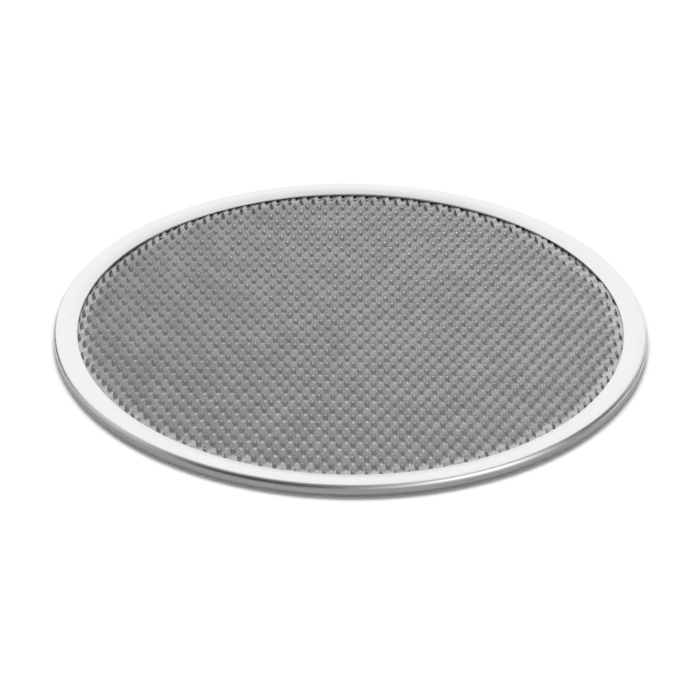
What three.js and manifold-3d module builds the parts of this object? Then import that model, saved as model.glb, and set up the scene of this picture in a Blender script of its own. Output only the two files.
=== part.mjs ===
// Round pizza screen: a disc of expanded aluminium sheet held in the fold of a seamless rim.
// Millimetres, +Z up. The origin lies on the screen's axis, level with the underside of the rim.
import * as THREE from "three";
import { mergeGeometries, mergeVertices } from "three/addons/utils/BufferGeometryUtils.js";
import Module from "manifold-3d";

// Rim: one strip of sheet folded to a channel that is open towards the axis
const outerDiameter = 304.8;
const rimHeight = 6.35;
const rimGauge = 0.9;
const bendRadius = 1.6; // inside the two bends that join the leaves to the outer wall
const landWidth = 2.5; // flat ring beside each bend, before the leaf dips to its lip

// Grip: the sheet runs under both leaves and stops short of the outer wall
const gripDepth = 6.0;
const edgeRoom = 5.5;
const gripClearance = 0.3; // between the sheet and each lip

// Expanded sheet: six-sided gaps whose long way runs front to back
const sheetThickness = 1.2;
const longPitch = 30.0; // gap to gap along the long way
const shortPitch = 16.6; // gap to gap along the short way
const strandWidth = 5.7;
const bondLength = 4.0; // length over which two strands stay joined
const edgeMargin = 3.0; // closed border, out of sight inside the fold

// Facets round the axis, and in each bend
const turnSteps = 72;
const bendSteps = 3;

// Places that follow from the sizes
const outerRadius = outerDiameter / 2;
const sheetRadius = outerRadius - rimGauge - edgeRoom;
const lipRadius = sheetRadius - gripDepth;
const shoulderRadius = bendRadius + rimGauge;
const creaseRadius = outerRadius - shoulderRadius;
const landRadius = creaseRadius - landWidth;
const middleHeight = rimHeight / 2;
const slotHalf = sheetThickness / 2 + gripClearance;

const rimMetal = new THREE.MeshStandardMaterial({ color: 0xdcdddd, roughness: 0.32, metalness: 1 });
const sheetMetal = new THREE.MeshStandardMaterial({ color: 0xc2c4c5, roughness: 0.42, metalness: 1 });

const wasm = await Module();
wasm.setup();

// A closed geometry as a solid that can be joined and cut
function solidFrom(geometry) {
  const bare = geometry.clone();
  bare.deleteAttribute("normal");
  bare.deleteAttribute("uv");
  const welded = mergeVertices(bare);
  const vertProperties = new Float32Array(welded.attributes.position.array);
  const triVerts = new Uint32Array(welded.index.array);
  return new wasm.Manifold(new wasm.Mesh({ numProp: 3, vertProperties, triVerts }));
}

function geometryFrom(solid) {
  const mesh = solid.getMesh();
  const geometry = new THREE.BufferGeometry();
  geometry.setAttribute("position", new THREE.BufferAttribute(mesh.vertProperties, 3));
  geometry.setIndex(new THREE.BufferAttribute(mesh.triVerts, 1));
  geometry.computeVertexNormals();
  return geometry;
}

// Section of the folded strip: along its outside from the lower lip to the upper lip, then back inside
function rimOutline() {
  const quarter = Math.PI / 2;
  const lowerLip = middleHeight - slotHalf;
  const upperLip = middleHeight + slotHalf;
  const upperBend = rimHeight - shoulderRadius;
  const outline = new THREE.Shape();
  outline.moveTo(lipRadius, lowerLip - rimGauge);
  outline.lineTo(landRadius, 0);
  outline.absarc(creaseRadius, shoulderRadius, shoulderRadius, -quarter, 0, false);
  outline.absarc(creaseRadius, upperBend, shoulderRadius, 0, quarter, false);
  outline.lineTo(landRadius, rimHeight);
  outline.lineTo(lipRadius, upperLip + rimGauge);
  outline.lineTo(lipRadius, upperLip);
  outline.lineTo(landRadius, rimHeight - rimGauge);
  outline.absarc(creaseRadius, upperBend, bendRadius, quarter, 0, true);
  outline.absarc(creaseRadius, shoulderRadius, bendRadius, 0, -quarter, true);
  outline.lineTo(landRadius, rimGauge);
  outline.lineTo(lipRadius, lowerLip);
  outline.closePath();
  return outline;
}

function makeRim() {
  const geometry = new THREE.LatheGeometry(rimOutline().getPoints(bendSteps), turnSteps);
  geometry.rotateX(Math.PI / 2);
  const rim = new THREE.Mesh(geometry, rimMetal);
  rim.name = "rim";
  return rim;
}

// A gap lies between four strands: its tips end at bonds, and its flat sides run along bonds
function gapCorners(centreX, centreY) {
  const tip = (longPitch - bondLength) / 2;
  const flat = bondLength / 2;
  const half = shortPitch / 2 - strandWidth;
  return [
    new THREE.Vector2(centreX, centreY - tip),
    new THREE.Vector2(centreX + half, centreY - flat),
    new THREE.Vector2(centreX + half, centreY + flat),
    new THREE.Vector2(centreX, centreY + tip),
    new THREE.Vector2(centreX - half, centreY + flat),
    new THREE.Vector2(centreX - half, centreY - flat),
  ];
}

// Every gap that shows inside the rim, in rows half a pitch apart, each shifted by half a pitch
function gapPrisms() {
  const rowStep = longPitch / 2;
  const columnStep = shortPitch / 2;
  const rows = Math.ceil(sheetRadius / rowStep);
  const columns = Math.ceil(sheetRadius / columnStep);
  const prisms = [];
  for (let row = -rows; row <= rows; row += 1) {
    for (let column = -columns; column <= columns; column += 1) {
      const onLattice = (row + column) % 2 === 0;
      const corners = gapCorners(column * columnStep, row * rowStep);
      const shows = corners.some((corner) => corner.length() < lipRadius);
      if (onLattice && shows) {
        const prism = new THREE.ExtrudeGeometry(new THREE.Shape(corners), {
          depth: 2 * sheetThickness,
          bevelEnabled: false,
        });
        prism.translate(0, 0, -sheetThickness);
        prisms.push(prism);
      }
    }
  }
  return mergeGeometries(prisms);
}

function disc(radius, thickness) {
  const geometry = new THREE.CylinderGeometry(radius, radius, thickness, turnSteps);
  geometry.rotateX(Math.PI / 2);
  return solidFrom(geometry);
}

function makeMeshDisc() {
  const openZone = disc(sheetRadius - edgeMargin, 3 * sheetThickness);
  const gaps = solidFrom(gapPrisms()).intersect(openZone);
  const sheet = disc(sheetRadius, sheetThickness).subtract(gaps);
  const meshDisc = new THREE.Mesh(geometryFrom(sheet), sheetMetal);
  meshDisc.name = "mesh_disc";
  meshDisc.position.z = middleHeight;
  return meshDisc;
}

const screen = new THREE.Group();
screen.add(makeRim());
screen.add(makeMeshDisc());

export default screen;
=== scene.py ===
"""Pizza screen: an expanded aluminium mesh gripped in a folded aluminium rim, on a plain white floor.

Metres, +Z up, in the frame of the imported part. Sizes are written in millimetres and scaled by MM.
"""
import math

import bpy
from mathutils import Matrix, Vector


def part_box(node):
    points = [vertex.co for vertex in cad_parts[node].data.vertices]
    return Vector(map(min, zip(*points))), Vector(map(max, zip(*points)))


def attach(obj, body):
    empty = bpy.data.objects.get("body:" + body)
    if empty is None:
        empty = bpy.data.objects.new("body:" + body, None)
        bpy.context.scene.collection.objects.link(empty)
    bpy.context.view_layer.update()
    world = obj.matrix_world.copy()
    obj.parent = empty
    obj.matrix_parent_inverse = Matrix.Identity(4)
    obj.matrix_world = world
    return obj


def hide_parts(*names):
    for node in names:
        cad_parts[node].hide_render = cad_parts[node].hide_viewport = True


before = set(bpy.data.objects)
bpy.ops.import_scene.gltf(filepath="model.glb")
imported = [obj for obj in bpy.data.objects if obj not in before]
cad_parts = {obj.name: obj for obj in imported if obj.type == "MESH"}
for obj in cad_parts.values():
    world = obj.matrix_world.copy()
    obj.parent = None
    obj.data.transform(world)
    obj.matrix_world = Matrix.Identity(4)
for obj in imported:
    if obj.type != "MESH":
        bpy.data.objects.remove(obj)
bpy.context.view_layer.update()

MM = 0.001
rim_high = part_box("rim")[1]
sheet_low, sheet_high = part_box("mesh_disc")

# Rim: the folded strip, with the same section as the solid and a rounded lip
OUTER_RADIUS = rim_high.x
RIM_HEIGHT = rim_high.z
SHEET_RADIUS = sheet_high.x
MIDDLE_HEIGHT = (sheet_low.z + sheet_high.z) / 2
GRIP_DEPTH = 6.0 * MM
GRIP_CLEARANCE = 0.3 * MM
LIP_RADIUS = SHEET_RADIUS - GRIP_DEPTH
SLOT_HALF = (sheet_high.z - sheet_low.z) / 2 + GRIP_CLEARANCE
RIM_GAUGE = 0.9 * MM
BEND_RADIUS = 1.6 * MM
OUTER_BEND = BEND_RADIUS + RIM_GAUGE
CREASE_RADIUS = OUTER_RADIUS - OUTER_BEND
LAND_WIDTH = 2.5 * MM
LIP_ROUND = 0.22 * MM
RIM_TURNS = 256
BEND_STEPS = 8
DIP_STEPS = 6
LIP_STEPS = 3
SHARP_ANGLE = math.radians(35)

# Expanded mesh: strands in zigzag along Y, joined side by side at the bonds
LONG_PITCH = 12.0 * MM
SHORT_PITCH = 6.65 * MM
HALF_PITCH = LONG_PITCH / 2
STRAND_ROW = SHORT_PITCH / 2
STRAND_WIDTH = 2.45 * MM
STRAND_THICKNESS = 0.85 * MM
STRAND_SLANT = math.radians(36)  # the strands' faces lean towards -X
PRESSED_SLANT = math.radians(11)  # what is left of it where the fold presses the sheet flat
PRESSED_REACH = 9.0 * MM
BOND_LENGTH = 1.8 * MM
STRAND_SPANS = 5
STRAND_SWAY = 0.4
CUT_RADIUS = SHEET_RADIUS - STRAND_ROW
WELD = 0.001 * MM
ROUNDING = 1e-6

# Rim: greys of the band and of the wall, whose darker grey is painted shade, and noise of so many waves in
# a metre
BAND_DARK = (0.90, 0.897, 0.904)
BAND_LIGHT = (0.95, 0.946, 0.95)
# Painted shade: the wall and the outer part of the bend are coloured darker than the band, in place of the
# darker surroundings they would mirror
SHADED_WALL_DARK = (0.262, 0.257, 0.248)
SHADED_WALL_LIGHT = (0.34, 0.335, 0.326)
WALL_START = CREASE_RADIUS + 1.9 * MM
WALL_END = CREASE_RADIUS + 2.48 * MM
STREAKS_ALONG = 22.0
STREAKS_ACROSS = 2600.0
STREAK_DETAIL = 4.0
RIM_CLOUDS = 26.0
BAND_ROUGHNESS = 0.18
WALL_ROUGHNESS = 0.28
STREAK_ROUGHNESS = 0.16
CLOUD_ROUGHNESS = 0.08
STREAK_BUMP = 0.12

# Mesh finish: the darkest and lightest grey, the least roughness and the share of bare metal
# Rolled faces: dull mill finish and partly painted shade, greyer than clean aluminium in place of shade
# falling on the mesh
MILL_AND_SHADE = ((0.50, 0.51, 0.52), (0.60, 0.61, 0.62), 0.28, 0.75)
SHEARED = ((0.70, 0.71, 0.72), (0.78, 0.79, 0.80), 0.18, 1.0)
MESH_CLOUDS = 90.0
MESH_GRAIN = 1400.0
GRAIN_ROUGHNESS = 0.2
GRAIN_BUMP = 0.15

# All metal: the detail of soft noise, the part of a noise that is spread over two greys, the bumps' height
SOFT_DETAIL = 3.0
NOISE_LOW = 0.3
NOISE_HIGH = 0.7
BUMP_HEIGHT = 0.05 * MM

# Camera, from the rim's ellipse in the photograph
VIEW_AZIMUTH = math.radians(-90)
VIEW_ELEVATION = math.radians(30.635)
VIEW_DISTANCE = 1.195
VIEW_LENS = 119.4
VIEW_SENSOR = 36.0
VIEW_ROLL = math.radians(0.544)
VIEW_AIM = Vector((-0.0002, -0.0317, RIM_HEIGHT))

# Floor, and the lift that brings it to the white of the background, from the rim's edge outwards
FLOOR_HALF = 6.0
FLOOR_WHITE = (0.97, 0.97, 0.97, 1)
FLOOR_ROUGHNESS = 0.9
FLOOR_LIFT = 0.14
LIFT_END = 1.04 * OUTER_RADIUS

# Light: shares of a level at which white renders white
WHITE = (1, 1, 1, 1)
FILL_LIGHT = 0.3
KEY_AZIMUTH = math.radians(95)
KEY_ELEVATION = math.radians(73)
KEY_SPREAD = math.radians(32)

# Studio that the metal reflects: white behind, dimmer overhead and in front, at the horizon and at the left
OVERHEAD_TILT = 0.7
OVERHEAD_START = 0.35
OVERHEAD_END = 0.95
OVERHEAD_LEVEL = 0.48
HORIZON_END = 0.1
HORIZON_LEVEL = 0.35
LEFT_START = -0.4
LEFT_END = -0.8
LEFT_LEVEL = 0.55

# Patches of that studio, each with its azimuth, elevation and spread in degrees, and its level
FLAGS = (
    (-124.3, 43.4, 28, 0.04),  # front left
    (17.4, 33.0, 19, 0.1),  # right
    (45.0, 45.0, 16, 0.15),  # upper right, behind
    (171.9, 77.7, 26, 0.45),  # overhead
    (136.6, 8.0, 15, 0.05),  # low at the left, behind
    (41.3, 7.2, 12, 0.1),  # low at the right, behind
    (-4.6, 8.6, 13, 0.12),  # low at the right
)
PANELS = (
    (-33.2, 48.9, 14, 1.15),  # softbox, upper front right
    (3.7, 62.5, 14, 0.4),  # strip, higher at the right
    (-52.5, 23.1, 26, 0.25),  # broad panel, lower front right
)
PATCH_SOFTNESS = 0.3


def add_mesh(name, points, faces):
    """A mesh object in the scene from points and faces."""
    mesh = bpy.data.meshes.new(name)
    mesh.from_pydata(points, [], faces)
    mesh.update()
    piece = bpy.data.objects.new(name, mesh)
    bpy.context.scene.collection.objects.link(piece)
    return piece


def smooth_by_angle(piece):
    """Smooth shading, with sharp edges kept crisp."""
    piece.data.shade_smooth()
    piece.data.set_sharp_from_angle(angle=SHARP_ANGLE)


def way(azimuth, elevation):
    """The direction at an azimuth, from +X towards +Y, and an elevation above the floor."""
    across = math.cos(elevation)
    return Vector((across * math.cos(azimuth), across * math.sin(azimuth), math.sin(elevation)))


def arc(centre, radius, start, end, steps):
    """Points on an arc in the section plane, from start to end, in degrees."""
    points = []
    for step in range(steps + 1):
        turn = math.radians(start + (end - start) * step / steps)
        points.append((centre[0] + radius * math.cos(turn), centre[1] + radius * math.sin(turn)))
    return points


def upper_rim_section():
    """Upper half of the fold: from the outer wall over the bend to the lip, then back inside."""
    bend_centre = (CREASE_RADIUS, RIM_HEIGHT - OUTER_BEND)
    land_end = CREASE_RADIUS - LAND_WIDTH
    lip_under = MIDDLE_HEIGHT + SLOT_HALF
    lip_top = lip_under + RIM_GAUGE
    lip_centre = LIP_RADIUS + LIP_ROUND
    outside = arc(bend_centre, OUTER_BEND, 0, 90, BEND_STEPS)
    dip = []
    for step in range(DIP_STEPS + 1):
        share = step / DIP_STEPS
        # The curve of a leaf that is held at the land and pressed down at its lip
        drop = share * share * (1.5 - 0.5 * share)
        radius = land_end + (lip_centre - land_end) * share
        dip.append((radius, RIM_HEIGHT + (lip_top - RIM_HEIGHT) * drop))
    lip = arc((lip_centre, lip_top - LIP_ROUND), LIP_ROUND, 90, 180, LIP_STEPS)[1:]
    lip += arc((lip_centre, lip_under + LIP_ROUND), LIP_ROUND, 180, 270, LIP_STEPS)
    inside = [(land_end, RIM_HEIGHT - RIM_GAUGE)]
    inside += arc(bend_centre, BEND_RADIUS, 90, 0, BEND_STEPS)
    return outside + dip + lip + inside


def make_rim():
    """The rim turned about the axis from its closed section."""
    upper = upper_rim_section()
    lower = [(radius, 2 * MIDDLE_HEIGHT - height) for radius, height in reversed(upper)]
    section = upper + lower
    count = len(section)
    points = []
    faces = []
    for turn in range(RIM_TURNS):
        angle = 2 * math.pi * turn / RIM_TURNS
        for radius, height in section:
            points.append((radius * math.cos(angle), radius * math.sin(angle), height))
    for turn in range(RIM_TURNS):
        here = turn * count
        there = (turn + 1) % RIM_TURNS * count
        for index in range(count):
            after = (index + 1) % count
            faces.append((here + index, there + index, there + after, here + after))
    rim = add_mesh("rolled_rim", points, faces)
    smooth_by_angle(rim)
    return rim


def strand_stations():
    """Places along Y where a strand's section is set: bond ends, and even spans between them."""
    marks = [0.0]
    run = HALF_PITCH - BOND_LENGTH
    for span in range(STRAND_SPANS + 1):
        marks.append(BOND_LENGTH / 2 + run * span / STRAND_SPANS)
    halves = math.ceil(SHEET_RADIUS / HALF_PITCH) + 1
    stations = []
    for index in range(-halves, halves):
        stations += [index * HALF_PITCH + mark for mark in marks]
    stations.append(halves * HALF_PITCH)
    return stations


def strand_swing(along):
    """From 1 at a bond with the next strand to -1 at a bond with the one before, for an even strand."""
    away = abs((along + HALF_PITCH) % LONG_PITCH - HALF_PITCH)
    share = (away - BOND_LENGTH / 2) / (HALF_PITCH - BOND_LENGTH)
    share = min(max(share, 0.0), 1.0)
    share -= STRAND_SWAY * math.sin(2 * math.pi * share) / (2 * math.pi)
    return 1 - 2 * share


def strand_sign(number):
    """Every second strand swings the other way."""
    return 1 if number % 2 == 0 else -1


def local_slant(radius):
    """The strands' slant: even over the middle, and pressed nearly flat towards the fold."""
    share = (LIP_RADIUS - radius) / PRESSED_REACH
    share = min(max(share, 0.0), 1.0)
    eased = share * share * (3 - 2 * share)
    return PRESSED_SLANT + (STRAND_SLANT - PRESSED_SLANT) * eased


def strand_section(number, along):
    """The four corners of a strand's section: lower and upper edge, each under and top."""
    middle = number * STRAND_ROW
    swing = strand_sign(number) * strand_swing(along)
    corners = []
    for edge in (-1, 1):
        slant = local_slant(math.hypot(middle + (swing + edge) * STRAND_ROW / 4, along))
        wide = STRAND_WIDTH * math.cos(slant)
        rise = STRAND_WIDTH * math.sin(slant)
        edge_across = middle + swing * (STRAND_ROW - wide) / 2 + edge * wide / 2
        edge_height = (edge - swing) * rise / 2
        for face in (-1, 1):
            x = edge_across - face * math.sin(slant) * STRAND_THICKNESS / 2
            z = edge_height + face * math.cos(slant) * STRAND_THICKNESS / 2
            corners.append((x, along, MIDDLE_HEIGHT + z))
    return corners


def bond_sides(stations):
    """For each span of an even strand: 1 in a bond with the next strand, -1 with the one before, else 0."""
    swings = [strand_swing(along) for along in stations]
    sides = []
    for first, second in zip(swings, swings[1:]):
        in_bond = abs(first + second) > 2 - ROUNDING
        sides.append(round(first) if in_bond else 0)
    return sides


def mesh_spans(stations, sides):
    """The spans of each strand inside the cut edge, with the whole bond wherever a span reaches one."""
    outermost = math.ceil(SHEET_RADIUS / STRAND_ROW)
    spans = set()
    for number in range(-outermost, outermost + 1):
        for index, side in enumerate(sides):
            middle = (stations[index] + stations[index + 1]) / 2
            if side == 0 and math.hypot(number * STRAND_ROW, middle) < CUT_RADIUS:
                spans.add((number, index))
    for number, index in sorted(spans):
        for step in (-1, 1):
            bond = index + step
            if sides[bond] != 0:
                partner = number + strand_sign(number) * sides[bond]
                for strand in (number, partner):
                    spans.update(((strand, bond), (strand, bond + step)))
    return spans


def make_mesh():
    """The expanded sheet as one closed skin, cut to a disc whose edge is hidden in the fold."""
    stations = strand_stations()
    sides = bond_sides(stations)
    spans = mesh_spans(stations, sides)
    points = []
    places = {}

    def corner(number, index, which):
        """The number of a corner's point, which strands share at a bond."""
        spot = strand_section(number, stations[index])[which]
        key = tuple(round(value / WELD) for value in spot)
        if key not in places:
            places[key] = len(points)
            points.append(spot)
        return places[key]

    rolled = []
    sheared = []
    for number, index in sorted(spans):
        here = [corner(number, index, which) for which in range(4)]
        there = [corner(number, index + 1, which) for which in range(4)]
        side = strand_sign(number) * sides[index]
        rolled.append((here[1], here[3], there[3], there[1]))
        rolled.append((here[2], here[0], there[0], there[2]))
        if side != -1:
            sheared.append((here[0], here[1], there[1], there[0]))
        if side != 1:
            sheared.append((here[3], here[2], there[2], there[3]))
        if (number, index - 1) not in spans:
            sheared.append((here[0], here[2], here[3], here[1]))
        if (number, index + 1) not in spans:
            sheared.append((there[1], there[3], there[2], there[0]))
    mesh = add_mesh("expanded_mesh", points, rolled + sheared)
    for polygon in mesh.data.polygons[len(rolled):]:
        polygon.material_index = 1
    smooth_by_angle(mesh)
    return mesh


def new_material(name):
    """A node material, with its nodes and links."""
    material = bpy.data.materials.new(name)
    material.use_nodes = True
    return material, material.node_tree.nodes, material.node_tree.links


def math_node(nodes, links, operation, first, second=None):
    """A math node whose inputs are numbers or other nodes' outputs."""
    node = nodes.new("ShaderNodeMath")
    node.operation = operation
    for socket, value in zip(node.inputs, (first, second)):
        if isinstance(value, (int, float)):
            socket.default_value = value
        elif value is not None:
            links.new(value, socket)
    return node.outputs[0]


def range_node(nodes, links, value, low, high, at_low, at_high):
    """A smooth step from one number to another as a value goes from low to high."""
    node = nodes.new("ShaderNodeMapRange")
    node.interpolation_type = "SMOOTHSTEP"
    node.inputs["From Min"].default_value = low
    node.inputs["From Max"].default_value = high
    node.inputs["To Min"].default_value = at_low
    node.inputs["To Max"].default_value = at_high
    links.new(value, node.inputs["Value"])
    return node.outputs["Result"]


def noise_node(nodes, links, vector, scale, detail):
    """A noise texture's grey value."""
    node = nodes.new("ShaderNodeTexNoise")
    node.inputs["Scale"].default_value = scale
    node.inputs["Detail"].default_value = detail
    links.new(vector, node.inputs["Vector"])
    return node.outputs["Fac"]


def mix_colours(nodes, links, factor, first, second):
    """A mix of two colours, each a colour or another node's output."""
    node = nodes.new("ShaderNodeMix")
    node.data_type = "RGBA"
    links.new(factor, node.inputs["Factor"])
    for name, value in (("A", first), ("B", second)):
        socket = [item for item in node.inputs if item.name == name and item.type == "RGBA"][0]
        if isinstance(value, tuple):
            socket.default_value = (*value, 1)
        else:
            links.new(value, socket)
    return [item for item in node.outputs if item.type == "RGBA"][0]


def mix_numbers(nodes, links, factor, first, second):
    """A mix of two numbers, each a number or another node's output."""
    node = nodes.new("ShaderNodeMix")
    node.data_type = "FLOAT"
    links.new(factor, node.inputs["Factor"])
    for name, value in (("A", first), ("B", second)):
        if isinstance(value, (int, float)):
            node.inputs[name].default_value = value
        else:
            links.new(value, node.inputs[name])
    return node.outputs["Result"]


def add_bump(nodes, links, shader, height, strength):
    """Fine relief on a shader from a noise."""
    bump = nodes.new("ShaderNodeBump")
    bump.inputs["Strength"].default_value = strength
    bump.inputs["Distance"].default_value = BUMP_HEIGHT
    links.new(height, bump.inputs["Height"])
    links.new(bump.outputs["Normal"], shader.inputs["Normal"])


def rim_material():
    """Satin aluminium with fine streaks that run round the rim; the outer wall is a darker grey, painted
    shade in place of the darker surroundings it would mirror.
    """
    material, nodes, links = new_material("satin_aluminium")
    shader = nodes["Principled BSDF"]
    shader.inputs["Metallic"].default_value = 1.0
    place = nodes.new("ShaderNodeTexCoord").outputs["Object"]
    axes = nodes.new("ShaderNodeSeparateXYZ")
    links.new(place, axes.inputs[0])
    x, y, z = axes.outputs
    squares = math_node(nodes, links, "ADD", math_node(nodes, links, "MULTIPLY", x, x),
                        math_node(nodes, links, "MULTIPLY", y, y))
    radius = math_node(nodes, links, "SQRT", squares)
    across = math_node(nodes, links, "SUBTRACT", radius, z)
    streak_place = nodes.new("ShaderNodeCombineXYZ")
    stretched = ((x, STREAKS_ALONG), (y, STREAKS_ALONG), (across, STREAKS_ACROSS))
    for socket, (value, stretch) in zip(streak_place.inputs, stretched):
        links.new(math_node(nodes, links, "MULTIPLY", value, stretch), socket)
    streaks = noise_node(nodes, links, streak_place.outputs[0], 1.0, STREAK_DETAIL)
    clouds = noise_node(nodes, links, place, RIM_CLOUDS, SOFT_DETAIL)
    # Painted shade: from partway round the outer bend, the base colour turns to the darker wall grey in
    # place of darker mirrored surroundings; the same mask makes the wall rougher
    wall = range_node(nodes, links, radius, WALL_START, WALL_END, 0.0, 1.0)
    spread = range_node(nodes, links, streaks, NOISE_LOW, NOISE_HIGH, 0.0, 1.0)
    band_colour = mix_colours(nodes, links, spread, BAND_DARK, BAND_LIGHT)
    shaded_wall_colour = mix_colours(nodes, links, spread, SHADED_WALL_DARK, SHADED_WALL_LIGHT)
    links.new(mix_colours(nodes, links, wall, band_colour, shaded_wall_colour), shader.inputs["Base Color"])
    grain = math_node(nodes, links, "ADD", math_node(nodes, links, "MULTIPLY", streaks, STREAK_ROUGHNESS),
                      math_node(nodes, links, "MULTIPLY", clouds, CLOUD_ROUGHNESS))
    satin = range_node(nodes, links, wall, 0.0, 1.0, BAND_ROUGHNESS, WALL_ROUGHNESS)
    links.new(math_node(nodes, links, "ADD", grain, satin), shader.inputs["Roughness"])
    add_bump(nodes, links, shader, streaks, STREAK_BUMP)
    return material


def strand_material(name, dark, light, smoothest, bare):
    """Aluminium of the mesh between two greys, with cloudy patches and a fine grain."""
    material, nodes, links = new_material(name)
    shader = nodes["Principled BSDF"]
    shader.inputs["Metallic"].default_value = bare
    place = nodes.new("ShaderNodeTexCoord").outputs["Object"]
    clouds = noise_node(nodes, links, place, MESH_CLOUDS, SOFT_DETAIL)
    grain = noise_node(nodes, links, place, MESH_GRAIN, SOFT_DETAIL)
    patches = range_node(nodes, links, clouds, NOISE_LOW, NOISE_HIGH, 0.0, 1.0)
    links.new(mix_colours(nodes, links, patches, dark, light), shader.inputs["Base Color"])
    rougher = math_node(nodes, links, "MULTIPLY", grain, GRAIN_ROUGHNESS)
    links.new(math_node(nodes, links, "ADD", rougher, smoothest), shader.inputs["Roughness"])
    add_bump(nodes, links, shader, grain, GRAIN_BUMP)
    return material


def mesh_materials():
    """Mill finish on the rolled faces, dulled by oxide and darkened further by painted shade, and brighter
    metal on the sheared edges.
    """
    return [strand_material("mill_aluminium_and_painted_shade", *MILL_AND_SHADE), strand_material("sheared_aluminium", *SHEARED)]


def make_floor():
    """A wide white floor, lifted a little so that it meets the white background."""
    corners = [(x * FLOOR_HALF, y * FLOOR_HALF, 0) for x, y in ((-1, -1), (1, -1), (1, 1), (-1, 1))]
    floor = add_mesh("floor", corners, [(0, 1, 2, 3)])
    material, nodes, links = new_material("white_floor")
    shader = nodes["Principled BSDF"]
    shader.inputs["Base Color"].default_value = FLOOR_WHITE
    shader.inputs["Roughness"].default_value = FLOOR_ROUGHNESS
    shader.inputs["Specular IOR Level"].default_value = 0.0
    path = nodes.new("ShaderNodeLightPath")
    seen = math_node(nodes, links, "MAXIMUM", path.outputs["Is Camera Ray"], path.outputs["Is Glossy Ray"])
    seen = math_node(nodes, links, "MAXIMUM", seen, path.outputs["Is Transmission Ray"])
    from_axis = nodes.new("ShaderNodeVectorMath")
    from_axis.operation = "LENGTH"
    links.new(nodes.new("ShaderNodeTexCoord").outputs["Object"], from_axis.inputs[0])
    lift = range_node(nodes, links, from_axis.outputs["Value"], OUTER_RADIUS, LIFT_END, 0.0, FLOOR_LIFT)
    shader.inputs["Emission Color"].default_value = WHITE
    links.new(math_node(nodes, links, "MULTIPLY", seen, lift), shader.inputs["Emission Strength"])
    floor.data.materials.append(material)


def studio_level(nodes, links):
    """The studio's level by direction: white behind and dimmer elsewhere, with its flags and panels."""
    direction = nodes.new("ShaderNodeTexCoord").outputs["Generated"]
    axes = nodes.new("ShaderNodeSeparateXYZ")
    links.new(direction, axes.inputs[0])
    x, y, z = axes.outputs
    over = math_node(nodes, links, "SUBTRACT", z, math_node(nodes, links, "MULTIPLY", y, OVERHEAD_TILT))
    level = range_node(nodes, links, over, OVERHEAD_START, OVERHEAD_END, 1.0, OVERHEAD_LEVEL)
    horizon = range_node(nodes, links, z, 0.0, HORIZON_END, HORIZON_LEVEL, 1.0)
    level = math_node(nodes, links, "MULTIPLY", level, horizon)
    left = range_node(nodes, links, x, LEFT_END, LEFT_START, LEFT_LEVEL, 1.0)
    level = math_node(nodes, links, "MULTIPLY", level, left)

    def patch(azimuth, elevation, spread, outside, inside):
        """A round patch with a soft edge."""
        nearness = nodes.new("ShaderNodeVectorMath")
        nearness.operation = "DOT_PRODUCT"
        links.new(direction, nearness.inputs[0])
        nearness.inputs[1].default_value = way(math.radians(azimuth), math.radians(elevation))
        edge = math.cos(math.radians(spread * (1 + PATCH_SOFTNESS)))
        core = math.cos(math.radians(spread * (1 - PATCH_SOFTNESS)))
        return range_node(nodes, links, nearness.outputs["Value"], edge, core, outside, inside)

    for azimuth, elevation, spread, inside in FLAGS:
        level = math_node(nodes, links, "MULTIPLY", level, patch(azimuth, elevation, spread, 1.0, inside))
    for azimuth, elevation, spread, inside in PANELS:
        level = math_node(nodes, links, "ADD", level, patch(azimuth, elevation, spread, 0.0, inside))
    return level


def make_world():
    """White round about for the camera, the studio for what the metal reflects, and else a soft fill."""
    world = bpy.data.worlds.new("studio")
    bpy.context.scene.world = world
    world.use_nodes = True
    nodes = world.node_tree.nodes
    links = world.node_tree.links
    background = nodes["Background"]
    background.inputs["Color"].default_value = WHITE
    path = nodes.new("ShaderNodeLightPath")
    mirrored = math_node(nodes, links, "LESS_THAN", path.outputs["Diffuse Depth"], 0.5)
    mirrored = math_node(nodes, links, "MULTIPLY", path.outputs["Is Glossy Ray"], mirrored)
    lit = mix_numbers(nodes, links, mirrored, FILL_LIGHT, studio_level(nodes, links))
    direct = math_node(nodes, links, "MAXIMUM", path.outputs["Is Camera Ray"],
                       path.outputs["Is Transmission Ray"])
    links.new(mix_numbers(nodes, links, direct, lit, 1.0), background.inputs["Strength"])


def make_key_lamp():
    """A soft sun from high up, a little behind, which the metal doesn't mirror."""
    data = bpy.data.lights.new("key", "SUN")
    data.energy = math.pi * (1 - FILL_LIGHT) / math.sin(KEY_ELEVATION)
    data.angle = KEY_SPREAD
    lamp = bpy.data.objects.new("key", data)
    lamp.location = way(KEY_AZIMUTH, KEY_ELEVATION)
    lamp.rotation_euler = (-lamp.location).to_track_quat("-Z", "Y").to_euler()
    lamp.visible_glossy = False
    bpy.context.scene.collection.objects.link(lamp)


def make_camera():
    """The photograph's viewpoint: in front, about thirty degrees up, through a long lens."""
    data = bpy.data.cameras.new("camera")
    data.lens = VIEW_LENS
    data.sensor_width = VIEW_SENSOR
    camera = bpy.data.objects.new("camera", data)
    camera.location = Vector((0, 0, RIM_HEIGHT)) + way(VIEW_AZIMUTH, VIEW_ELEVATION) * VIEW_DISTANCE
    look = (VIEW_AIM - camera.location).to_track_quat("-Z", "Y").to_matrix().to_4x4()
    turned = look @ Matrix.Rotation(VIEW_ROLL, 4, "Z")
    camera.rotation_euler = turned.to_euler()
    bpy.context.scene.collection.objects.link(camera)
    bpy.context.scene.camera = camera


def dress(piece, materials, node):
    """Gives a piece its materials, and puts it in place of its solid."""
    for material in materials:
        piece.data.materials.append(material)
    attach(piece, "root")
    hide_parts(node)


make_camera()
dress(make_rim(), [rim_material()], "rim")
dress(make_mesh(), mesh_materials(), "mesh_disc")
make_floor()
make_world()
make_key_lamp()
bpy.context.scene.view_settings.view_transform = "Standard"
